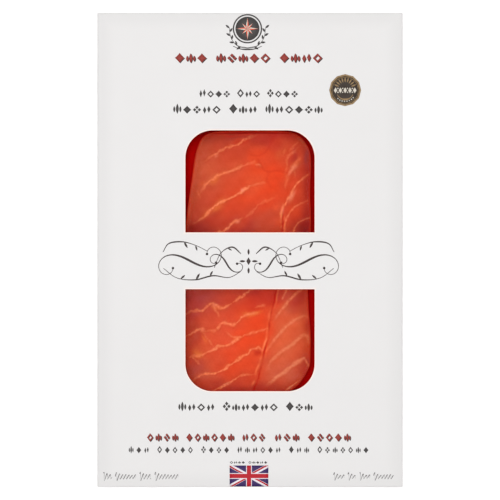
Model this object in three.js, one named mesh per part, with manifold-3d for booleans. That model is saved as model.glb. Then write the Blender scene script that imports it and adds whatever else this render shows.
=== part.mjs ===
// A smoked salmon fillet in its windowed card carton, lying on its back with the windows up.
// Millimetres, +Z up. +Y points to the head of the printed face and +X to its right.
// The origin is the middle of the underside.

import * as THREE from "three";
import { mergeVertices } from "three/addons/utils/BufferGeometryUtils.js";
import Module from "manifold-3d";

const wasm = await Module();
wasm.setup();

// Driving dimensions
const carton = {
  width: 150,
  length: 233,
  depth: 22,
  card: 0.5, // folding boxboard
  foldRadius: 0.8,
  closureInset: 0.8, // each end closure is this much narrower than the carton, each side
  tuckGap: 0.5, // slit between an end closure's tucked edge and the back panel
  seamWidth: 0.3, // slit at the glued corner, between the left side's raw edge and the back panel
  seamDepth: 0.3,
  seamInset: 0.6,
};
const pane = { width: 63.3, height: 50, radius: 12.8, upperFoot: 8.6, lowerHead: -19.2 };
const board = { width: 130, length: 204, thickness: 1.2, radius: 5 };
const clearance = 0.3; // between pieces that lie on each other
const fillet = {
  crown: 15, // thickness along the middle
  rim: 4, // height of its widest line above the underside
  undercut: 1.5, // how far the underside lies in from the widest line
  mostUndercut: 0.9, // and at most this share of the half width, at the pointed ends
  undercutRise: 4, // the side curves in under the rim this many times faster than the top curves over
  domePower: 4.5, // of the section's superellipse: 2 is an ellipse, more is squarer
  endPower: 6.4, // of the thickness from head to foot: more is steeper at the ends
  endCrowding: 0.35, // how far the rows draw together towards the ends, from 0 to 1
  rows: 92,
  columns: 34,
  underColumns: 10,
};
const relief = {
  seamDepth: 0.8,
  seamWidth: 1.5,
  flakeDepth: 0.3,
  flakeWidth: 0.9,
  fade: 7, // reliefs die out this far inside the sides
};

// The sides of the fillet seen from above, each from its head to its foot. Both start and end
// at the same points. The head is cut straight across and the foot slanting on the right.
const head = [1, 59.1];
const foot = [-8, -77];
const leftHead = [[-12, 58.9], [-19.8, 58.2], [-23.4, 56], [-26.2, 50], [-28.8, 35.5], [-31.9, 14]];
const leftFoot = [[-33.8, -8], [-34.8, -44], [-31, -67]];
const rightHead = [[14, 58.9], [21.2, 58.2], [25.7, 55.4], [29.3, 49.4], [30.2, 43], [29.9, 22], [29.3, 0]];
const rightFoot = [[28.8, -23], [29.7, -45], [29.3, -57.2], [25.4, -64.4], [20.6, -69.6], [8, -75.6]];
const leftSide = [head, ...leftHead, ...leftFoot, foot];
const rightSide = [head, ...rightHead, ...rightFoot, foot];

// The lengthwise seam between two muscles, and the flakes that slant up to it from the left and
// away from it on the right. A flake line is y = start + slope (x - at), its start set by its number.
const seamHead = [[27, 58], [23.4, 44], [18.6, 27], [16.3, 18], [15.8, 9], [14.6, -8], [12.8, -19.5]];
const seamFoot = [[10.2, -30.3], [8.1, -42], [6.5, -51.4], [3.1, -66.4], [1, -73]];
const seam = [...seamHead, ...seamFoot];
const flakes = {
  left: { at: -10, first: 50.1, step: -12.9, tighten: 0.125, slope: 0.56, turn: -0.019 },
  right: { at: 20, first: 40, step: -11.4, tighten: 0.06, slope: 1.1, turn: -0.035 },
  count: 11,
};

// Shapes and solids
function roundedRectangle(width, height, head = 0, foot = head) {
  const x = width / 2;
  const y = height / 2;
  const shape = new THREE.Shape();
  const corners = [
    [x, -y, foot, 0],
    [x, y, head, 1],
    [-x, y, head, 2],
    [-x, -y, foot, 3],
  ];
  shape.moveTo(0, -y);
  for (const [cornerX, cornerY, radius, turn] of corners) {
    const start = ((turn - 1) * Math.PI) / 2;
    const centreX = cornerX - Math.sign(cornerX) * radius;
    const centreY = cornerY - Math.sign(cornerY) * radius;
    if (radius > 0) shape.absarc(centreX, centreY, radius, start, start + Math.PI / 2);
    else shape.lineTo(cornerX, cornerY);
  }
  shape.closePath();
  return shape;
}

function extrude(shape, depth, curveSegments = 8) {
  return new THREE.ExtrudeGeometry(shape, { depth, bevelEnabled: false, curveSegments });
}

function solidOf(geometry) {
  const bare = geometry.clone();
  bare.deleteAttribute("normal");
  bare.deleteAttribute("uv");
  const merged = mergeVertices(bare, 1e-4);
  return new wasm.Manifold(
    new wasm.Mesh({
      numProp: 3,
      vertProperties: new Float32Array(merged.attributes.position.array),
      triVerts: new Uint32Array(merged.index.array),
    }),
  );
}

function geometryOf(solid) {
  const mesh = solid.getMesh();
  const geometry = new THREE.BufferGeometry();
  geometry.setAttribute("position", new THREE.BufferAttribute(mesh.vertProperties, 3));
  geometry.setIndex(new THREE.BufferAttribute(mesh.triVerts, 1));
  geometry.computeVertexNormals();
  return geometry;
}

function boxSolid(sizeX, sizeY, sizeZ, x, y, z) {
  return solidOf(new THREE.BoxGeometry(sizeX, sizeY, sizeZ).translate(x, y, z));
}

function namedMesh(name, geometry, color, roughness) {
  const material = new THREE.MeshStandardMaterial({ color, roughness, metalness: 0 });
  const mesh = new THREE.Mesh(geometry, material);
  mesh.name = name;
  return mesh;
}

// The carton: a folded card body, an end closure on each end and two window cut-outs
function cartonBody() {
  const { width, length, depth, card, foldRadius } = carton;
  const bodyLength = length - 2 * card;
  const outer = extrude(roundedRectangle(width, depth, foldRadius), bodyLength, 4);
  outer.translate(0, 0, -bodyLength / 2).rotateX(Math.PI / 2);
  outer.translate(0, 0, depth / 2);
  const cavity = boxSolid(width - 2 * card, bodyLength - 2 * card, depth - 2 * card, 0, 0, depth / 2);
  return solidOf(outer).subtract(cavity);
}

function endClosure(side) {
  const { width, length, depth, card, closureInset, tuckGap } = carton;
  const overlap = card / 2;
  const profile = new THREE.Shape();
  profile.moveTo(-card - overlap, depth);
  profile.lineTo(-card, depth);
  profile.absarc(-card, depth - card, card, Math.PI / 2, 0, true);
  profile.lineTo(0, tuckGap + card);
  profile.absarc(-card, tuckGap + card, card, 0, -Math.PI / 2, true);
  profile.lineTo(-card - overlap, tuckGap);
  profile.closePath();
  const closureWidth = width - 2 * closureInset;
  const plate = extrude(profile, closureWidth, 4);
  plate.translate(0, 0, -closureWidth / 2);
  plate.rotateX(Math.PI / 2).rotateZ(Math.PI / 2);
  plate.translate(0, length / 2, 0);
  if (side < 0) plate.rotateZ(Math.PI);
  return solidOf(plate);
}

function windowCut(middleY, headRadius, footRadius) {
  const { depth, card } = carton;
  const shape = roundedRectangle(pane.width, pane.height, headRadius, footRadius);
  const plug = extrude(shape, 3 * card, 10); // runs past both faces of the card by its own thickness
  return solidOf(plug.translate(0, middleY, depth - 2 * card));
}

function seamCut() {
  const { width, length, seamWidth, seamDepth, seamInset } = carton;
  return boxSolid(seamWidth, length, 2 * seamDepth, seamInset - width / 2, 0, 0);
}

function buildCarton() {
  const solid = cartonBody()
    .add(endClosure(1))
    .add(endClosure(-1))
    .subtract(windowCut(pane.upperFoot + pane.height / 2, pane.radius, 0))
    .subtract(windowCut(pane.lowerHead - pane.height / 2, 0, pane.radius))
    .subtract(seamCut());
  return namedMesh("carton", geometryOf(solid), 0xecebe9, 0.55);
}

// The backing board that the fillet lies on
const boardFoot = carton.card + clearance;
const filletFoot = boardFoot + board.thickness + clearance;

function buildBoard() {
  const plate = extrude(roundedRectangle(board.width, board.length, board.radius), board.thickness, 5);
  const mesh = namedMesh("backing_board", plate, 0xa00c10, 0.35);
  mesh.position.z = boardFoot;
  return mesh;
}

// The fillet: sections across it from the left side to the right side, joined from head to foot
function sideCurve(points) {
  return new THREE.CatmullRomCurve3(points.map(([x, y]) => new THREE.Vector3(x, y, 0)), false, "centripetal");
}

const leftCurve = sideCurve(leftSide);
const rightCurve = sideCurve(rightSide);
const seamCurve = sideCurve(seam).getSpacedPoints(60);

function groove(distance, depth, width) {
  return depth * Math.exp(-((distance / width) ** 2));
}

function flakeRelief(x, y, side) {
  let depth = 0;
  for (let number = 0; number < flakes.count; number += 1) {
    const start = side.first + side.step * number + side.tighten * number ** 2;
    const slope = side.slope + side.turn * number;
    const distance = (y - start - slope * (x - side.at)) / Math.hypot(1, slope);
    depth += groove(distance, relief.flakeDepth, relief.flakeWidth);
  }
  return depth;
}

function reliefAt(x, y) {
  let nearest = seamCurve[0];
  for (const point of seamCurve) {
    const nearer = Math.hypot(point.x - x, point.y - y) < Math.hypot(nearest.x - x, nearest.y - y);
    if (nearer) nearest = point;
  }
  const offset = Math.hypot(nearest.x - x, nearest.y - y);
  const side = x < nearest.x ? flakes.left : flakes.right;
  const clearOfSeam = 1 - Math.exp(-((offset / (2 * relief.seamWidth)) ** 2));
  return groove(offset, relief.seamDepth, relief.seamWidth) + flakeRelief(x, y, side) * clearOfSeam;
}

// Thickness from head (0) to foot (1): steep at both ends, like a knife cut eased by the film
function thicknessAt(along) {
  return Math.sqrt(Math.max(0, 1 - Math.abs(2 * along - 1) ** fillet.endPower));
}

// A point of the section at an angle from its left side (0) over the top to its right side (PI):
// spread from -1 to 1 across and rise from 0 to 1, on the superellipse spread^p + rise^p = 1
function sectionAt(angle) {
  const across = Math.abs(Math.cos(angle));
  const up = Math.abs(Math.sin(angle));
  const reach = (across ** fillet.domePower + up ** fillet.domePower) ** (-1 / fillet.domePower);
  return { spread: -Math.cos(angle) * reach, rise: up * reach };
}

// turn runs from 0 at the left side over the top to 1 at the right side and under it to 2
function filletPoint(along, turn) {
  const left = leftCurve.getPointAt(along);
  const right = rightCurve.getPointAt(along);
  const swell = thicknessAt(along);
  const onTop = turn <= 1;
  const { spread, rise } = sectionAt(Math.PI * (onTop ? turn : 2 - turn));
  const span = left.distanceTo(right) / 2;
  const rim = fillet.rim * swell;
  const underRise = Math.min(1, rise * fillet.undercutRise);
  const drawnIn = onTop || span === 0 ? 0 : Math.min(fillet.mostUndercut, fillet.undercut / span) * underRise;
  const point = left.clone().add(right).multiplyScalar(0.5);
  point.addScaledVector(right.clone().sub(left), (spread * (1 - drawnIn)) / 2);
  if (onTop) {
    const inside = (1 - Math.abs(spread)) * span;
    const fade = Math.min(1, inside / relief.fade);
    point.z = rim + (fillet.crown - fillet.rim) * swell * rise - reliefAt(point.x, point.y) * fade * swell;
  } else {
    point.z = rim * (1 - underRise);
  }
  return point;
}

function buildFillet() {
  const { rows, columns, underColumns, endCrowding } = fillet;
  const around = [];
  for (let column = 0; column <= columns; column += 1) around.push(column / columns);
  for (let column = 1; column < underColumns; column += 1) around.push(1 + column / underColumns);
  const positions = [];
  const put = (point) => positions.push(point.x, point.y, point.z);
  put(filletPoint(0, 0));
  for (let row = 1; row < rows; row += 1) {
    const eased = 0.5 - 0.5 * Math.cos((Math.PI * row) / rows);
    const along = endCrowding * eased + (1 - endCrowding) * (row / rows);
    for (const turn of around) put(filletPoint(along, turn));
  }
  put(filletPoint(1, 0));
  const count = around.length;
  const last = positions.length / 3 - 1;
  const index = [];
  const at = (row, column) => 1 + (row - 1) * count + (column % count);
  for (let column = 0; column < count; column += 1) {
    index.push(0, at(1, column), at(1, column + 1));
    index.push(last, at(rows - 1, column + 1), at(rows - 1, column));
    for (let row = 1; row < rows - 1; row += 1) {
      index.push(at(row, column), at(row + 1, column), at(row + 1, column + 1));
      index.push(at(row, column), at(row + 1, column + 1), at(row, column + 1));
    }
  }
  const geometry = new THREE.BufferGeometry();
  geometry.setAttribute("position", new THREE.Float32BufferAttribute(positions, 3));
  geometry.setIndex(index);
  geometry.computeVertexNormals();
  const mesh = namedMesh("salmon_fillet", geometry, 0xd85a35, 0.35);
  mesh.position.z = filletFoot;
  return mesh;
}

const boxedFillet = new THREE.Group();
boxedFillet.add(buildCarton(), buildBoard(), buildFillet());

export default boxedFillet;
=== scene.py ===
import math

import bpy
import numpy as np
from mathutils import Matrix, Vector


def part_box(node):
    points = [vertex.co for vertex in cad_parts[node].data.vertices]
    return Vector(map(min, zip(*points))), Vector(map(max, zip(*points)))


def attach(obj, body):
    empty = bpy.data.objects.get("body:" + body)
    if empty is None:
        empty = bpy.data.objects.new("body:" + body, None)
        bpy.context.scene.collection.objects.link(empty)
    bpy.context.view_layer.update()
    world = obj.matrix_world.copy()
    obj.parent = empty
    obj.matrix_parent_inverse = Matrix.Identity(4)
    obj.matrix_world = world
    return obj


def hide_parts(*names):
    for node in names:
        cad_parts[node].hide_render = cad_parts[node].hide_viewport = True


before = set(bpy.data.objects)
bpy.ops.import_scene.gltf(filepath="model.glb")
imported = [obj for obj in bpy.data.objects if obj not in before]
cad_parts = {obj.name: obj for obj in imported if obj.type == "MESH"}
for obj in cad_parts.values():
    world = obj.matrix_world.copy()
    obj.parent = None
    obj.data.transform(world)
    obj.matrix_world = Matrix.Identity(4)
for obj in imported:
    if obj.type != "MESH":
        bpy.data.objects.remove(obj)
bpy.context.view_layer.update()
mm = 0.001

cartonLow, cartonHigh = (np.array(c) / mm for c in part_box("carton"))
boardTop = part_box("backing_board")[1][2] / mm
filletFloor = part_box("salmon_fillet")[0][2] / mm
faceZ = cartonHigh[2]


# Small helpers for curves and arrays, all in millimetres


def lengthAlong(line):
    # how far each point is from the line's start, along it
    return np.concatenate([[0], np.cumsum(np.linalg.norm(np.diff(line, axis=0), axis=1))])


def resample(line, at, want):
    # the line's points where the measure along it, which is at[i] at its point i, has the wanted values
    return np.stack([np.interp(want, at, line[:, k]) for k in range(line.shape[1])], axis=1)


def throughPoints(points, count):
    # centripetal Catmull-Rom curve through the points, resampled at equal steps of its length
    p = np.array(points, float)
    p = np.vstack([2 * p[0] - p[1], p, 2 * p[-1] - p[-2]])
    gap = np.maximum(np.linalg.norm(np.diff(p, axis=0), axis=1), 1e-9) ** 0.5
    t = np.linspace(0, 1, 40, endpoint=False)[None, :, None]
    a, b, c, d = (p[i:len(p) - 3 + i, None, :] for i in range(4))
    g0, g1, g2 = (gap[i:len(gap) - 2 + i, None, None] for i in range(3))
    m1 = ((b - a) / g0 - (c - a) / (g0 + g1) + (c - b) / g1) * g1
    m2 = ((c - b) / g1 - (d - b) / (g1 + g2) + (d - c) / g2) * g1
    q = (2 * t**3 - 3 * t**2 + 1) * b + (t**3 - 2 * t**2 + t) * m1
    q = q + (3 * t**2 - 2 * t**3) * c + (t**3 - t**2) * m2
    q = np.vstack([q.reshape(-1, p.shape[1]), p[-2]])
    run = lengthAlong(q)
    return resample(q, run, np.linspace(0, run[-1], count))


def smooth(low, high, x):
    # 0 up to low and 1 from high, going over by 3t^2 - 2t^3
    t = np.clip((x - low) / (high - low), 0, 1)
    return t * t * (3 - 2 * t)


def bell(distance, width, power=2):
    # 1 in the middle, 1/e at that width
    return np.exp(-((distance / width) ** power))


def cosSin(degrees):
    return math.cos(math.radians(degrees)), math.sin(math.radians(degrees))


def offAt(x, y, reach, angle):
    # the point that far away in that direction, in radians
    return x + reach * math.cos(angle), y + reach * math.sin(angle)


def waves(x, y, scale, seed):
    # smooth random field from -1 to 1: eight sine waves of random direction and phase, about scale mm long
    draw = np.random.default_rng(seed)
    total = np.zeros(np.broadcast(x, y).shape)
    for _ in range(8):
        turn = draw.uniform(0, 2 * math.pi)
        phase = draw.uniform(0, 2 * math.pi)
        stretch = draw.uniform(0.7, 1.6)
        along = x * math.cos(turn) + y * math.sin(turn)
        total = total + np.sin(along * 2 * math.pi * stretch / scale + phase)
    return total / 4


def layered(x, y, start, *layers):
    # start plus layers of waves, each with its share, its length in mm and its seed
    return sum((share * waves(x, y, scale, seed) for share, scale, seed in layers), start)


def distanceTo(line, x, y):
    # nearest distance in mm from each point to a polyline, the share along it and the signed side
    a, b = line[:-1], line[1:]
    best = np.full(x.shape, 1e9)
    along = np.zeros(x.shape)
    side = np.zeros(x.shape)
    for k in range(len(a)):
        step = b[k] - a[k]
        t = np.clip(((x - a[k, 0]) * step[0] + (y - a[k, 1]) * step[1]) / max(step @ step, 1e-12), 0, 1)
        dx, dy = x - a[k, 0] - t * step[0], y - a[k, 1] - t * step[1]
        d = np.hypot(dx, dy)
        near = d < best
        best = np.where(near, d, best)
        along = np.where(near, (k + t) / len(a), along)
        side = np.where(near, np.sign(step[0] * dy - step[1] * dx), side)
    return best, along, side


# Mesh building


def gridFaces(rows, columns, start=0, wrap=False, flip=False):
    # quads of a rows by columns grid of vertices; wrap joins the last column to the first
    last = columns if wrap else columns - 1
    i, j = np.meshgrid(np.arange(rows - 1), np.arange(last), indexing="ij")
    a = start + i * columns + j
    b = start + i * columns + (j + 1) % columns
    quads = np.stack([a, b, b + columns, a + columns], axis=-1).reshape(-1, 4)
    return quads[:, ::-1] if flip else quads


def fan(first, second, tip):
    # triangles that join pairs of vertices to one more
    return np.stack([first, second, np.full(len(first), tip)], axis=-1)


def endFans(first, second, lastRow, total):
    # a grid's first row joined to the last vertex but one, and its last row to the last vertex
    return [fan(first, second, total - 2), fan(second + lastRow, first + lastRow, total - 1)]


def closedSheet(points, faces, thickness, outside=0, inside=1):
    # an open surface made solid: it is copied inwards by thickness along its vertex normals, and each free
    # edge gets a wall. Gives the points, the face arrays and a material for each face
    count = len(points)
    normals = np.zeros((count, 3))
    for group in faces:
        corner = points[group]
        area = np.cross(corner[:, 2] - corner[:, 0], corner[:, -1] - corner[:, 1])
        for k in range(group.shape[1]):
            np.add.at(normals, group[:, k], area)
    normals /= np.linalg.norm(normals, axis=1)[:, None]
    pairs = [np.stack([group, np.roll(group, -1, axis=1)], axis=-1).reshape(-1, 2) for group in faces]
    edges = np.vstack(pairs)
    free = edges[~np.isin(edges[:, 0] * count + edges[:, 1], edges[:, 1] * count + edges[:, 0])]
    wall = np.stack([free[:, 1], free[:, 0], free[:, 0] + count, free[:, 1] + count], axis=-1)
    under = [group[:, ::-1] + count for group in faces]
    slots = [np.full(len(group), outside) for group in faces]
    slots += [np.full(len(group), inside) for group in [*under, wall]]
    return np.vstack([points, points - normals * thickness]), [*faces, *under, wall], np.concatenate(slots)


def weld(points, faces):
    # points that meet within a tenth of a micron become one
    _, first, same = np.unique(np.round(points, 4), axis=0, return_index=True, return_inverse=True)
    return points[first], [same.reshape(-1)[group] for group in faces]


def makePiece(name, shells, materials, smoothAngle=35):
    # shells: a list of (points in mm, face arrays, material index of each face), joined in one mesh
    vertices, faces, slots, start = [], [], [], 0
    for points, groups, index in shells:
        vertices.append(points)
        for group in groups:
            faces.extend((group + start).tolist())
        slots.append(np.broadcast_to(index, sum(len(group) for group in groups)))
        start += len(points)
    mesh = bpy.data.meshes.new(name)
    mesh.from_pydata((np.vstack(vertices) * mm).tolist(), [], faces)
    for material in materials:
        mesh.materials.append(material)
    mesh.polygons.foreach_set("material_index", np.concatenate(slots).astype(np.int32))
    mesh.validate()
    mesh.update()
    mesh.shade_smooth()
    piece = bpy.data.objects.new(name, mesh)
    bpy.context.scene.collection.objects.link(piece)
    if smoothAngle:
        mesh.set_sharp_from_angle(angle=math.radians(smoothAngle))
    return piece


def setAttribute(piece, name, values, kind="FLOAT", field="value"):
    # one value, or one row of four for a colour, for each vertex
    layer = piece.data.attributes.new(name, kind, "POINT")
    layer.data.foreach_set(field, np.asarray(values, np.float32).ravel())


def finishPiece(piece, slot, *replaced):
    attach(piece, "root")
    if replaced:
        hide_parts(*replaced)
    print("made", piece.name, len(piece.data.vertices), "vertices")
    return piece


# Shader maths: a Val is one socket, and an expression on it adds its Math nodes


def operator(operation, reflected=False):
    def apply(value, *others):
        return value.shader.math(operation, *((*others, value) if reflected else (value, *others)))

    return apply


class Val:
    def __init__(self, shader, socket):
        self.shader = shader
        self.socket = socket

    __add__ = __radd__ = operator("ADD")
    __sub__ = operator("SUBTRACT")
    __rsub__ = operator("SUBTRACT", reflected=True)
    __mul__ = __rmul__ = operator("MULTIPLY")
    __truediv__ = operator("DIVIDE")
    __lt__ = operator("LESS_THAN")
    __gt__ = operator("GREATER_THAN")
    __abs__ = operator("ABSOLUTE")
    least = operator("MINIMUM")


class Shader:
    # the nodes of one material or world; add() makes any node from its type, settings and socket values, and
    # gives its output
    def __init__(self, owner):
        self.owner = owner
        owner.use_nodes = True
        self.tree = owner.node_tree
        self.tree.nodes.clear()
        self.object = self.add("ShaderNodeTexCoord", {}, {}, "Object")

    def add(self, kind, settings, sockets, output=0):
        node = self.tree.nodes.new(kind)
        for key, value in settings.items():
            if key == "stops":
                self.setStops(node.color_ramp.elements, value)
            else:
                setattr(node, key, value)
        for key, value in sockets.items() if isinstance(sockets, dict) else enumerate(sockets):
            if isinstance(value, Val):
                self.tree.links.new(value.socket, node.inputs[key])
            elif isinstance(value, tuple) and len(value) == 3 and node.inputs[key].type == "RGBA":
                node.inputs[key].default_value = (*value, 1)
            else:
                node.inputs[key].default_value = value
        return Val(self, node.outputs[output])

    def setStops(self, elements, stops):
        while len(elements) < len(stops):
            elements.new(0.5)
        for element, (position, grey) in zip(elements, stops):
            element.position = position
            element.color = (grey, grey, grey, 1)

    def math(self, operation, *values):
        return self.add("ShaderNodeMath", {"operation": operation}, values)

    def axis(self, index):
        # one coordinate on the object, in metres
        return self.add("ShaderNodeSeparateXYZ", {}, [self.object], index)

    def attribute(self, name, output):
        return self.add("ShaderNodeAttribute", {"attribute_name": name}, {}, output)

    def ease(self, value, low, high, first=0.0, last=1.0):
        # goes smoothly from first to last while the value goes from low to high
        sockets = {0: value, 1: low, 2: high, 3: first, 4: last}
        return self.add("ShaderNodeMapRange", {"interpolation_type": "SMOOTHSTEP"}, sockets)

    def noise(self, scale, detail=3, stretch=(1, 1, 1), turn=0.0):
        # scale is in features a metre; stretch draws the pattern out along an axis
        sockets = {"Vector": self.object, "Rotation": (0, 0, turn), "Scale": stretch}
        place = self.add("ShaderNodeMapping", {}, sockets)
        return self.add("ShaderNodeTexNoise", {}, {"Vector": place, "Scale": scale, "Detail": detail})

    def mix(self, factor, a, b):
        return self.add("ShaderNodeMix", {"data_type": "RGBA"}, {0: factor, 6: a, 7: b}, 2)

    def bump(self, height, distance, strength):
        return self.add("ShaderNodeBump", {}, {"Height": height, "Distance": distance, "Strength": strength})

    def surface(self, **sockets):
        named = {key.replace("_", " "): value for key, value in sockets.items()}
        return self.output(self.add("ShaderNodeBsdfPrincipled", {}, named))

    def output(self, closure, kind="Material"):
        node = self.tree.nodes.new("ShaderNodeOutput" + kind)
        self.tree.links.new(closure.socket, node.inputs["Surface"])
        return self.owner


# Camera, light and floor

studio = {
    "framePixels": 500,
    "pixelsAcross": 306.2,  # width of the face in the photo's frame
    "lens": 120,
    "sensor": 36,
    "floorHalf": 1.6,
    "floorGlow": 0.6,
    "tent": [(0.0, 0.25), (0.5, 0.5), (0.75, 0.6), (1.0, 0.5)],  # height of the direction, brightness
    "softboxes": {  # place and size in metres, power in watts
        "softboxTop": ((-0.06, 0.04, 1.5), (0.3, 0.3), 6.4),
        "softboxHead": ((0, 0.85, 1.25), (1.2, 0.7), 2.4),
        "softboxFoot": ((0, -0.85, 1.25), (1.2, 0.7), 0.9),
        "softboxLeft": ((-0.9, 0.1, 1.1), (0.6, 1.0), 1.0),
        "softboxRight": ((0.9, 0.1, 1.1), (0.6, 1.0), 1.0),
    },
    "power": 1.2,  # brings the card to its brightness in the photo
    "aim": (0, 0, 0.02),
}


def makeCamera():
    # straight over the middle, as far off as puts the face at its width in the photo
    faceWidth = (cartonHigh[0] - cartonLow[0]) * mm
    viewWidth = faceWidth * studio["framePixels"] / studio["pixelsAcross"]
    distance = viewWidth * studio["lens"] / studio["sensor"]
    camera = bpy.data.objects.new("camera", bpy.data.cameras.new("camera"))
    camera.data.lens = studio["lens"]
    camera.data.sensor_width = studio["sensor"]
    camera.location = (0, 0, faceZ * mm + distance)
    bpy.context.scene.collection.objects.link(camera)
    bpy.context.scene.camera = camera


def makeArea(name, place, size, power):
    light = bpy.data.lights.new(name, "AREA")
    light.shape = "RECTANGLE"
    light.size, light.size_y = size
    light.energy = power
    lamp = bpy.data.objects.new(name, light)
    lamp.location = place
    aim = -np.array(place, float) + np.array(studio["aim"])
    lamp.rotation_euler = (math.acos(-aim[2] / np.linalg.norm(aim)), 0, math.atan2(-aim[0], aim[1]))
    bpy.context.scene.collection.objects.link(lamp)


def makeStudio():
    scene = bpy.context.scene
    scene.view_settings.view_transform = "Standard"
    scene.view_settings.look = "None"
    # a soft white tent, with the lamps over it
    sky = Shader(bpy.data.worlds.new("studio"))
    direction = sky.add("ShaderNodeTexCoord", {}, {}, "Generated")
    height = sky.add("ShaderNodeSeparateXYZ", {}, [direction], "Z")
    bright = sky.add("ShaderNodeValToRGB", {"stops": studio["tent"]}, [height])
    scene.world = sky.output(sky.add("ShaderNodeBackground", {}, [bright]), "World")
    for name, (place, size, power) in studio["softboxes"].items():
        makeArea(name, place, size, power * studio["power"])
    half = studio["floorHalf"]
    corners = np.array([[-half, -half, 0], [half, -half, 0], [half, half, 0], [-half, half, 0]]) / mm
    paper = Shader(bpy.data.materials.new("floorPaper"))
    tone = paper.mix(paper.noise(900), (0.9, 0.9, 0.9), (0.93, 0.93, 0.93))
    material = paper.surface(
        Base_Color=tone, Roughness=0.9, Emission_Color=(1.0, 1.0, 1.0), Emission_Strength=studio["floorGlow"]
    )
    floor = makePiece("floor", [(corners, [np.array([[0, 1, 2, 3]])], 0)], [material], 0)


# The card carton: a front panel with two windows, strips folded round the long edges, and tucked ends

card = {
    "thickness": 0.5,
    "fold": 0.55,  # radius of the card's middle at a fold
    "panelInset": 1.1,  # the flat front panel ends this far in from the carton's edges, and the folds begin
    "bow": 0.35,  # how far the front panel swells out at its middle
    "sideBow": 0.25,
    "crush": 0.08,  # rounding of the die-cut window edge
    "flapFree": 1.6,  # dust flaps are this much narrower than the sides, each edge
    "flapLength": 33,
    "flapTaper": 3,
    "tongue": 12,
    "tongueNarrow": 1.0,  # narrower than the closure, each side
    "tongueTaper": 8,
    "tongueZ": 0.8,
    "closureInset": 0.6,
    "glueFlap": 12,
    "glueSlant": 8,
    "sideShort": 0.5,  # the sides end this far short of the strips' ends
    "foldReach": 0.25,  # the strips' folds end this far from the carton's head and foot
    "face": (0.776, 0.763, 0.758),
    "mottle": 0.985,
    "raw": (0.78, 0.75, 0.72),
    "cut": (1.0, 0.83, 0.76),  # the pale cut edge along the windows, tinted pink by a painted reflection of the flesh
    "rimFade": (0.2, 0.75),
    "margin": (0.5, 9.0),  # mm from the folds over which the card goes from its painted edge shade to its full white
    # painted shade: the face is darker near its folds
    "paintedEdgeShade": 0.95,
    "paintedFoldShade": 0.93,  # painted shade on the folded edge round the face
}
pane = {"width": 63.3, "height": 50, "radius": 13.35, "upperFoot": 8.6, "lowerHead": -19.2}
panelX, panelY = cartonHigh[0] - card["panelInset"], cartonHigh[1] - card["panelInset"]


def faceHeight(x, y):
    # height of the printed face: flat at the folds, swelling by card["bow"] to the middle
    lift = (1 - np.clip(x / panelX, -1, 1) ** 2) ** 2 * (1 - np.clip(y / panelY, -1, 1) ** 2) ** 2
    return faceZ + card["bow"] * lift


def facePlate(halfX, lowY, highY, rows, columns, middle=(0, 0), lift=0):
    # a grid of points over the printed face, row by row from foot to head
    y, x = np.meshgrid(np.linspace(lowY, highY, rows), np.linspace(-halfX, halfX, columns), indexing="ij")
    x, y = x + middle[0], y + middle[1]
    return np.dstack([x, y, faceHeight(x, y) + lift]).reshape(-1, 3)


def sheetShell(centre, normal, thickness):
    # a closed sheet round a middle surface, given as rows by columns points and unit normals
    rows, columns = centre.shape[:2]
    across = centre[rows // 2, columns // 2 + 1] - centre[rows // 2, columns // 2]
    along = centre[rows // 2 + 1, columns // 2] - centre[rows // 2, columns // 2]
    flip = np.dot(np.cross(across, along), normal[rows // 2, columns // 2]) < 0
    outer = (centre + normal * thickness / 2).reshape(-1, 3)
    return closedSheet(outer, [gridFaces(rows, columns, flip=flip)], thickness)


def foldedPath(corners, radius, step=6.0):
    # a path of straight stretches joined by arcs, with the unit normal to its left; both n by 2
    corners = np.array(corners, float)
    points, normals = [], []
    for k in range(len(corners) - 1):
        a, b = corners[k], corners[k + 1]
        run = (b - a) / np.linalg.norm(b - a)
        first = a + run * (radius if k > 0 else 0)
        last = b - run * (radius if k < len(corners) - 2 else 0)
        count = max(2, int(np.linalg.norm(last - first) / step) + 1)
        share = np.linspace(0, 1, count + 1)[:, None]
        left = np.array([-run[1], run[0]])
        points.append(first + (last - first) * share)
        normals.append(np.repeat(left[None], count + 1, axis=0))
        if k < len(corners) - 2:
            ahead = (corners[k + 2] - b) / np.linalg.norm(corners[k + 2] - b)
            turn = run[0] * ahead[1] - run[1] * ahead[0]
            aheadLeft = np.array([-ahead[1], ahead[0]])
            centre = last + left * radius * np.sign(turn)
            angle = np.linspace(0, math.pi / 2, 9)[1:-1, None]
            normal = left * np.cos(angle) + aheadLeft * np.sin(angle)
            points.append(centre - normal * radius * np.sign(turn))
            normals.append(normal)
    return np.vstack(points), np.vstack(normals)


def stripShell(path, normals, axes, reach, steps):
    # a folded path in the plane axes[:2], carried along axes[2] to plus and minus its reach at each point
    share = np.linspace(-1, 1, steps + 1)
    centre = np.zeros((len(path), steps + 1, 3))
    normal = np.zeros_like(centre)
    for k in range(2):
        centre[..., axes[k]] = path[:, k, None]
        normal[..., axes[k]] = normals[:, k, None]
    centre[..., axes[2]] = reach[:, None] * share[None]
    return centre, normal


def ringShares(offsets, count, reach):
    # shares of the way from one outline out to another: first at these distances in mm, then in equal steps
    begin = offsets[-1] / reach
    steps = np.linspace(0, 1, count + 1)[1:, None]
    return np.vstack([np.array(offsets)[:, None] / reach, begin + (1 - begin) * steps])


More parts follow.
